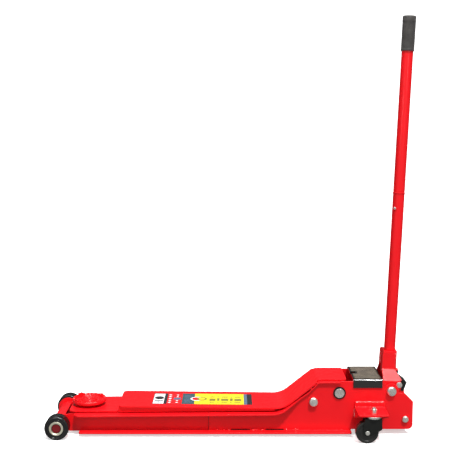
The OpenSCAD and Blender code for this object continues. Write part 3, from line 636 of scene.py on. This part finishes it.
def handle_matrix():
    """From the handle's own axes, with its pivot at the origin, to the jack's."""
    joint = joint_named("handle_twist")
    tilt = math.atan2(joint["axis"][0], joint["axis"][2])
    return Matrix.Translation(joint["pos_m"]) @ Matrix.Rotation(tilt, 4, "Y")


class JACK_OT_grip(bpy.types.Operator):
    """Builds the ribbed rubber grip"""
    bl_idname = "jack.grip"
    bl_label = "Grip"

    def execute(self, context):
        place = handle_matrix()
        back = place.inverted()
        heights = [(back @ v.co).z for v in NODES["handle_grip"].data.vertices]
        low, high = min(heights), max(heights)
        r, collar = 0.022, 0.0222
        step, depth = sizes().rib, sizes().rib_depth
        corners = [(TUBE_R, low, 0), (collar, low, 0.0012), (collar, low + 0.006, 0.0005),
                   (r - depth, low + 0.0072, 0.0003)]
        count = int((high - low - 0.026) / step)
        start = low + 0.0078
        for k in range(count):
            z = start + k * step
            corners += [(r - depth, z, 0), (r, z + 0.0007, 0.0003),
                        (r, z + step - 0.0014, 0.0003), (r - depth, z + step - 0.0007, 0)]
        top = start + count * step
        dimple, tube_end = high - 0.002, high - 0.006
        corners += [(r - depth, top, 0), (collar, top + 0.001, 0.0004), (collar, high, 0.005),
                    (0.006, high, 0.001), (0.005, dimple, 0.0005), (0, dimple, 0)]
        inner = [(0, tube_end, 0), (TUBE_R, tube_end, 0), (TUBE_R, low, 0)]
        bm = bmesh.new()
        turned(bm, rounded_outline(corners, 3) + [c[:2] for c in inner], (0, 0, 0), (0, 0, 1), 64)
        bm.transform(place)
        finished("grip_sleeve", bm, "handle", MATERIALS["grip_rubber"],
                 ["handle_grip"])
        return {"FINISHED"}


class JACK_OT_cover_mat(bpy.types.Operator):
    """Lays the ribbed rubber mat on the black top cover; its brown-grey colour is painted
    reflection, standing in for the sheen of light on the cover's top
    """
    bl_idname = "jack.cover_mat"
    bl_label = "Cover Mat"

    def execute(self, context):
        low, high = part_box("top_cover")
        x0, x1, half, top = low.x + 0.0015, high.x - 0.0015, high.y - 0.0075, high.z
        notch, mouth, throat = 0.016, 0.0125, 0.0105
        border, rib_half, rib_high, ribs = 0.004, 0.0016, 0.0014, 15
        corners = [(x1, half), (x1, -half), (x0, -half), (x0, -mouth), (x0 + notch, -throat),
                   (x0 + notch, throat), (x0, mouth), (x0, half)]
        bm = bmesh.new()
        face = bm.faces.new([bm.verts.new((x, y, top)) for x, y in corners])
        bmesh.ops.inset_individual(bm, faces=[face], thickness=0.0008, depth=0.0009)
        outer = [e for e in bm.edges if e.is_boundary]
        made = bmesh.ops.extrude_edge_only(bm, edges=outer)["geom"]
        for v in made:
            if isinstance(v, bmesh.types.BMVert):
                v.co.z = top - 0.0004
        bmesh.ops.holes_fill(bm, edges=[e for e in bm.edges if e.is_boundary], sides=0)
        spread = half - 0.006
        for k in range(ribs):
            y = spread * (2 * k / (ribs - 1) - 1)
            front = x0 + notch + 0.005 if abs(y) < 0.014 else x0 + border
            block(bm, (front, y - rib_half, top), (x1 - border, y + rib_half, top + rib_high),
                  0.0004, 1)
        # The mat's brown-grey finish is painted reflection of the light on the cover's top.
        finished("cover_mat", bm, "chassis", MATERIALS["cover_mat"])
        return {"FINISHED"}


# ---- Springs ----

CLOSED_TURNS = 1.5
STEPS_PER_TURN = 20


def coil(bm, start, axis, span, radius, wire, turns):
    """A coil spring along an axis, its end turns closed up."""
    axis = Vector(axis).normalized()
    a = axis.orthogonal().normalized()
    b = axis.cross(a)
    start = Vector(start)
    flat = CLOSED_TURNS * wire
    path = []
    for i in range(turns * STEPS_PER_TURN + 1):
        t = i / STEPS_PER_TURN
        if t < CLOSED_TURNS:
            d = t * wire
        elif t > turns - CLOSED_TURNS:
            d = span - wire - (turns - t) * wire
        else:
            share = (t - CLOSED_TURNS) / (turns - 2 * CLOSED_TURNS)
            d = flat + share * (span - wire - 2 * flat)
        path.append(start + axis * (d + wire / 2)
                    + (a * math.cos(TURN * t) + b * math.sin(TURN * t)) * radius)
    tube(bm, path, wire / 2)


class JACK_OT_springs(bpy.types.Operator):
    """Winds the arm's return springs and the pump's spring"""
    bl_idname = "jack.springs"
    bl_label = "Springs"

    def execute(self, context):
        low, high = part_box("return_springs")
        wire = sizes().wire
        outer = (high.z - low.z) / 2
        radius = outer - wire / 2
        z = (low.z + high.z) / 2
        front, rear, hook_bow = low.x + 0.006, high.x - 0.006, 0.0068
        for side, sign in SIDES:
            y = sign * (high.y - outer)
            bm = bmesh.new()
            coil(bm, (front, y, z), (1, 0, 0), rear - front, radius, wire, sizes().coils)
            for x, way in ((front, -1), (rear, 1)):
                hook = [Vector((x + way * hook_bow * math.sin(a), y, z + radius * math.cos(a)))
                        for a in [math.pi * k / 14 for k in range(15)]]
                tube(bm, hook, wire / 2)
            spring = finished(f"{side}_return_spring", bm, None,
                              MATERIALS["spring_steel"])
            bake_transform(spring)
            if sign > 0:
                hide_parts("return_springs")

        low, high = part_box("pump_spring")
        wire, turns = 0.0028, 9
        x = (low.x + high.x) / 2
        bm = bmesh.new()
        coil(bm, (x, 0, low.z), (0, 0, 1), high.z - low.z, high.x - x - wire / 2, wire, turns)
        spring = finished("pump_return_spring", bm, None, MATERIALS["spring_steel"])
        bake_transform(spring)
        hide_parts("pump_spring")
        return {"FINISHED"}


# ---- Fasteners and small steel ----

def dome(bm, centre, sign, radius, rise):
    """A shallow dome on the outer face of a pin's head."""
    outline = [(radius * math.sin(a), rise * math.cos(a))
               for a in [math.pi / 2 * k / 8 for k in range(9)]]
    turned(bm, outline + [(0, 0)], centre, (0, sign, 0), 40)


class JACK_OT_pin_heads(bpy.types.Operator):
    """Domes the heads of the pins and bolts"""
    bl_idname = "jack.pin_heads"
    bl_label = "Pin Heads"

    def execute(self, context):
        # The roller pin's domes are low, to pass inside the side plates on a full stroke.
        for name, node, body, radius, rise in (
                ("anchor_pin", "rod_anchor_pin", "chassis", 0.0138, 0.2),
                ("handle_bolt", "handle_pivot_bolts", "chassis", 0.0148, 0.2),
                ("tie_bolt", "rear_tie_bolt", "chassis", 0.0098, 0.2),
                ("roller_pin", "roller_pin", "handle_yoke", 0.0086, 0.06)):
            centre, reach = middle_of(node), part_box(node)[1].y
            if name == "handle_bolt":
                centre = Vector(joint_named("handle_pump")["pos_m"])
            bm = bmesh.new()
            for sign in (-1, 1):
                dome(bm, (centre.x, sign * reach, centre.z), sign, radius, radius * rise)
            finished(f"{name}_domes", bm, body, MATERIALS["zinc_plate"])
        return {"FINISHED"}


class JACK_OT_guard_ears(bpy.types.Operator):
    """Folds the black guard's ears over the yoke's cheeks"""
    bl_idname = "jack.guard_ears"
    bl_label = "Guard Ears"

    def execute(self, context):
        sunk, thick = 0.0018, 0.0009
        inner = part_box("roller_pin")[1].y - sunk
        outline = ((566, 186), (588, 177), (584, 163), (577, 147), (568, 150), (571, 160),
                   (571, 176))
        bm = bmesh.new()
        for sign in (-1, 1):
            face = bm.faces.new([bm.verts.new((x * MM, sign * inner, z * MM))
                                 for x, z in outline])
            made = bmesh.ops.extrude_face_region(bm, geom=[face], use_keep_orig=True)["geom"]
            for v in made:
                if isinstance(v, bmesh.types.BMVert):
                    v.co.y += sign * thick
        finished("guard_ears", bm, "handle_yoke", MATERIALS["black_paint"])
        return {"FINISHED"}


class JACK_OT_handle_joint(bpy.types.Operator):
    """Rolls the lip where the handle's two tubes meet"""
    bl_idname = "jack.handle_joint"
    bl_label = "Handle Joint"

    def execute(self, context):
        place = handle_matrix()
        back = place.inverted()
        seat = max((back @ v.co).z for v in NODES["lower_handle_tube"].data.vertices)
        inner, r, foot = TUBE_R - 0.0001, 0.0203, seat - 0.0075
        bm = bmesh.new()
        turned(bm, rounded_outline([
            (inner, foot, 0), (0.0195, foot + 0.001, 0.0006), (r, seat - 0.0035, 0.0008),
            (r, seat - 0.0008, 0.0008), (inner, seat - 0.0002, 0), (inner, foot, 0)]),
            (0, 0, 0), (0, 0, 1), 64)
        bm.transform(place)
        finished("joint_lip", bm, "handle", MATERIALS["red_paint"])
        return {"FINISHED"}


class JACK_OT_slot_painted_shade(bpy.types.Operator):
    """Fills the depth of the tab slots with black blocks, as painted shade for the dark inside of
    the slots
    """
    bl_idname = "jack.slot_shades"
    bl_label = "Slot Painted Shade"

    def execute(self, context):
        gap, low, high = 0.0002, 0.0162, 0.0198
        for side, sign in SIDES:
            bm = bmesh.new()
            y0, y1 = sorted((sign * 0.0728, sign * 0.0772))
            # Black blocks in the slots: painted shade, standing in for the dark depth of each
            # slot.
            for x0, x1 in ((4, 66), (118, 180)):
                block(bm, (x0 * MM + gap, y0, low), (x1 * MM - gap, y1, high))
            finished(f"{side}_slot_painted_shade", bm, "chassis", MATERIALS["black_paint"])
        return {"FINISHED"}


# ---- Label ----

class JACK_OT_label(bpy.types.Operator):
    """Lays the plain coloured label on the arm's cover"""
    bl_idname = "jack.label"
    bl_label = "Label"

    def execute(self, context):
        tints = {"film": tuple(colours().red_shade), "white": (0.86, 0.87, 0.88),
                 "ink": (0.018, 0.018, 0.022), "teal": (0.035, 0.085, 0.10),
                 "yellow": tuple(colours().yellow), "slate": (0.10, 0.15, 0.24),
                 "olive": (0.23, 0.20, 0.03)}
        order = list(tints)
        finishes = [printed(f"label_{key}", tint) for key, tint in tints.items()]
        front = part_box("arm_cover")[0].x
        t, layer_t, sunk = sizes().label_t, 0.00012, 0.0002
        bm = bmesh.new()

        def lift(made, layer, kind):
            """Lays a flat shape on the sloping cover, with its foot just under the surface."""
            for v in made:
                over = t + layer * layer_t if v.co.z > 0 else -sunk
                v.co.z = COVER_FRONT_Z + (v.co.x - front) * COVER_SLOPE + over
            for f in {f for v in made for f in v.link_faces}:
                f.material_index = order.index(kind)

        # From here to the last band, places and radii are in millimetres.
        half = 57

        def patch(x0, x1, y0, y1, layer, kind):
            made = block(bm, (x0 * MM, y0 * MM, -1), (x1 * MM, y1 * MM, 1))
            lift(made, layer, kind)

        def band(x0, x1, layer, kind):
            patch(x0, x1, -half, half, layer, kind)

        def disc(x, y, r, layer, kind):
            made = bmesh.ops.create_cone(bm, cap_ends=True, segments=28, radius1=r * MM,
                                         radius2=r * MM, depth=2,
                                         matrix=Matrix.Translation((x * MM, y * MM, 0)))
            lift(made["verts"], layer, kind)

        band(-262, 75, 0, "film")
        band(-262, -214, 1, "ink")
        patch(-260, -224, -55, 51, 2, "white")
        disc(-241, 6, 16, 3, "ink")
        patch(-256, -228, -30, -22, 3, "ink")
        patch(-252, -232, -44, -38, 3, "slate")
        for x, r in ((-205, 5), (-180, 4)):
            for y in (-40, -20, 0, 20, 40):
                disc(x, y, r, 1, "white")
        patch(-192, -168, -10, 10, 2, "slate")
        band(-163, -121, 1, "teal")
        for k, y in enumerate((-38, -24, -10, 4, 18, 32)):
            patch(-156, -136 if k % 2 else -128, y, y + 5, 2, "slate")
        band(-121, 47, 1, "yellow")
        disc(-114, 0, 21, 2, "white")
        disc(-114, 0, 15, 3, "film")
        disc(-96, 0, 17, 4, "olive")
        disc(-96, 0, 12, 5, "yellow")
        for k, (x0, x1) in enumerate(((-70, -50), (-44, -36), (-30, -6), (0, 9), (15, 38))):
            patch(x0, x1, -20, 8 if k % 2 else 2, 2, "olive")
            patch(x0 + 2, x1 - 2, 18, 24, 2, "olive")
            patch(x0, x1 - 3, -38, -32, 2, "olive")
        band(47, 58, 1, "slate")
        band(58, 75, 1, "ink")
        finished("cover_label", bm, "lift_arm", finishes, merge=1e-9)
        return {"FINISHED"}


# ---- Welds ----

class JACK_OT_welds(bpy.types.Operator):
    """Runs the painted weld beads on the chassis, the arm and the handle's yoke"""
    bl_idname = "jack.welds"
    bl_label = "Welds"

    def execute(self, context):
        r = sizes().weld
        low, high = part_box("right_caster_shelf")
        front, rear, shelf = low.x - 0.001, high.x + 0.001, high.z + 0.0008
        y = RAIL_OUT + 0.001
        # Points of each bead on the right side, and its radius; the left side mirrors them.
        beads = [
            ([(low.x, y + 0.001, shelf), (high.x, y + 0.001, shelf)], r * 1.5),
            ([(front, y, 0.061), (front, y, 0.091)], r),
            ([(rear, y, 0.061), (rear, y, 0.091)], r),
            ([(0.270, y, 0.1585), (0.270, y + 0.006, 0.1585)], r),
            ([(0.289, y, 0.1785), (0.289, y + 0.006, 0.1785)], r),
        ]
        foot_y, foot_z = RAIL_OUT + 0.0012, 0.0175
        for a, b in ((-46, -39), (-24, -16), (-9, 1), (70, 92), (102, 115), (183, 192),
                     (214, 230)):
            beads.append(([(a * MM, foot_y, foot_z), (b * MM, foot_y, foot_z)], r * 1.3))
        axle = middle_of("front_axle")
        axle_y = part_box("right_front_rail")[0].y + 0.0055
        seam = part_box("right_side_plate")[0].x
        for side, sign in SIDES:
            bm = bmesh.new()
            for points, size in beads:
                weld_bead(bm, [(x, sign * y, z) for x, y, z in points], size)
            path = ring_points((axle.x, sign * axle_y, axle.z), (0, 1, 0), 0.0205, 96)
            tube(bm, path, lambda i: 0.0018 * (1 + 0.14 * math.cos(i * 2.1)), 6)
            finished(f"{side}_chassis_welds", bm, "chassis", MATERIALS["weld_paint"])
            bm = bmesh.new()
            y0, y1 = sorted((sign * 0.0719, sign * 0.0728))
            block(bm, (seam - 0.0022, y0, foot_z), (seam + 0.0006, y1, 0.070), 0.0003, 1)
            finished(f"{side}_seam", bm, "chassis", MATERIALS["dark_red_paint"])

        first, pitch, run, count = -0.345, 0.06, 0.03, 9
        edge_front, edge_y, edge_z = -0.372, 0.063, 0.095
        bm = bmesh.new()
        for sign in (-1, 1):
            for k in range(count):
                ends = (first + k * pitch, first + k * pitch + run)
                weld_bead(bm, [(x, sign * edge_y, edge_z + (x - edge_front) * COVER_SLOPE)
                               for x in ends], r * 0.9)
        finished("arm_welds", bm, "lift_arm", MATERIALS["weld_paint"])

        bm = bmesh.new()
        for sign in (-1, 1):
            for x, y, z0, z1 in ((-0.0235, 0.0268, 0.066, 0.118),
                                 (0.0152, 0.0292, 0.068, 0.117)):
                weld_bead(bm, [(x, sign * y, z0), (x, sign * y, z1)], r * 0.9)
        bm.transform(handle_matrix())
        finished("yoke_welds", bm, "handle_yoke", MATERIALS["weld_paint"])
        return {"FINISHED"}


# ---- Stage ----

CAMERA_PLACE = (0, -2.906, 1.039)
CAMERA_DOWN = 7.04
CAMERA_LENS = 68.63
SENSOR_WIDTH = 36
LAMP_AIM = Vector((0.1, 0, 0.1))
# Name, turn in degrees, strength, degrees across.
SUNS = (("key_sun", (27, 0, 26), 3.8, 5), ("fill_sun", (66, 0, -30), 0.2, 50),
        ("back_sun", (40, 0, 200), 0.4, 30))
# Name, place, width and depth, power in watts.
SOFT_LAMPS = (("glint_right", (1.4, -2.6, 1.5), (0.35, 0.35), 8),
              ("glint_left", (-1.3, -2.6, 1.2), (0.35, 0.35), 5),
              ("top_strip", (0.1, -0.35, 2.6), (2.6, 0.3), 42))


def lamp(name, kind, power):
    light = bpy.data.lights.new(name, kind)
    light.energy = power
    made = bpy.data.objects.new(name, light)
    bpy.context.scene.collection.objects.link(made)
    return made


class JACK_OT_stage(bpy.types.Operator):
    """Adds the pale floor, the studio light and the camera"""
    bl_idname = "jack.stage"
    bl_label = "Stage"

    def execute(self, context):
        scene = context.scene
        bm = bmesh.new()
        bmesh.ops.create_grid(bm, x_segments=1, y_segments=1, size=30)
        floor = mesh_object("floor", bm)
        f = Finish("pale_floor")
        pale = f.blended(f.noise(3, 2), (0.84, 0.84, 0.84), (0.86, 0.86, 0.86))
        f.drive("Base Color", pale)
        f.drive("Emission Color", pale)
        f.hold(Roughness=0.8, Specular_IOR_Level=0.0, Emission_Strength=0.62)
        floor.data.materials.append(f.material)
        floor.visible_diffuse = False
        floor.visible_glossy = False

        # A sky that is brighter in front of the jack than behind it.
        world = bpy.data.worlds.new("studio")
        scene.world = world
        world.use_nodes = True
        nodes, links = world.node_tree.nodes, world.node_tree.links
        place = nodes.new("ShaderNodeTexCoord")
        split = nodes.new("ShaderNodeSeparateXYZ")
        front = nodes.new("ShaderNodeMapRange")
        for key, value in (("From Min", -0.6), ("From Max", 0.3), ("To Min", 0.44),
                           ("To Max", 0.10)):
            front.inputs[key].default_value = value
        nodes["Background"].inputs["Color"].default_value = (1, 1, 1, 1)
        links.new(place.outputs["Generated"], split.inputs[0])
        links.new(split.outputs["Y"], front.inputs["Value"])
        links.new(front.outputs["Result"], nodes["Background"].inputs["Strength"])

        bm = bmesh.new()
        bmesh.ops.create_cone(bm, segments=64, radius1=14, radius2=14, depth=24,
                              matrix=Matrix.Translation((0, 0, 11)))
        screen = mesh_object("backdrop", bm)
        f = Finish("white_screen")
        f.drive("Emission Color", f.blended(f.noise(1, 2), (1, 1, 1), (0.99, 0.99, 0.99)))
        f.hold(Emission_Strength=1.05, Roughness=1.0)
        screen.data.materials.append(f.material)
        screen.visible_glossy = False
        screen.visible_diffuse = False
        screen.visible_shadow = False

        for name, turn, strength, across in SUNS:
            sun = lamp(name, "SUN", strength)
            sun.data.angle = math.radians(across)
            sun.rotation_euler = [math.radians(a) for a in turn]
        for name, place, size, power in SOFT_LAMPS:
            panel = lamp(name, "AREA", power)
            panel.data.shape = "RECTANGLE"
            panel.data.size, panel.data.size_y = size
            panel.location = place
            panel.rotation_euler = (LAMP_AIM - Vector(place)).to_track_quat("-Z", "Y").to_euler()

        camera_data = bpy.data.cameras.new("camera")
        camera_data.lens = CAMERA_LENS
        camera_data.sensor_width = SENSOR_WIDTH
        camera = bpy.data.objects.new("camera", camera_data)
        camera.location = CAMERA_PLACE
        camera.rotation_euler = (math.radians(90 - CAMERA_DOWN), 0, 0)
        scene.collection.objects.link(camera)
        scene.camera = camera
        scene.view_settings.view_transform = "Standard"
        scene.view_settings.look = "None"
        return {"FINISHED"}


OPERATORS = [JACK_OT_cad_parts, JACK_OT_front_wheels, JACK_OT_caster_wheels, JACK_OT_saddle,
             JACK_OT_grip, JACK_OT_cover_mat, JACK_OT_springs, JACK_OT_label, JACK_OT_welds,
             JACK_OT_pin_heads, JACK_OT_guard_ears, JACK_OT_handle_joint, JACK_OT_slot_painted_shade,
             JACK_OT_stage]


class JACK_PT_sidebar(bpy.types.Panel):
    """Lists the sizes, the colours and the pieces"""
    bl_idname = "JACK_PT_sidebar"
    bl_label = "Trolley Jack"
    bl_space_type = "VIEW_3D"
    bl_region_type = "UI"
    bl_category = "Jack"

    def draw(self, context):
        for group in (context.scene.jack_sizes, context.scene.jack_colours):
            for key in group.__annotations__:
                self.layout.prop(group, key)
        for operator in OPERATORS:
            self.layout.operator(operator.bl_idname)


CLASSES = [JackColours, JackSizes, *OPERATORS, JACK_PT_sidebar]


def register():
    for cls in CLASSES:
        bpy.utils.register_class(cls)
    bpy.types.Scene.jack_colours = PointerProperty(type=JackColours)
    bpy.types.Scene.jack_sizes = PointerProperty(type=JackSizes)


def unregister():
    del bpy.types.Scene.jack_sizes
    del bpy.types.Scene.jack_colours
    for cls in reversed(CLASSES):
        bpy.utils.unregister_class(cls)


def main():
    register()
    for operator in OPERATORS:
        group, name = operator.bl_idname.split(".")
        getattr(getattr(bpy.ops, group), name)()
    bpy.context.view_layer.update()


if __name__ == "__main__":
    main()
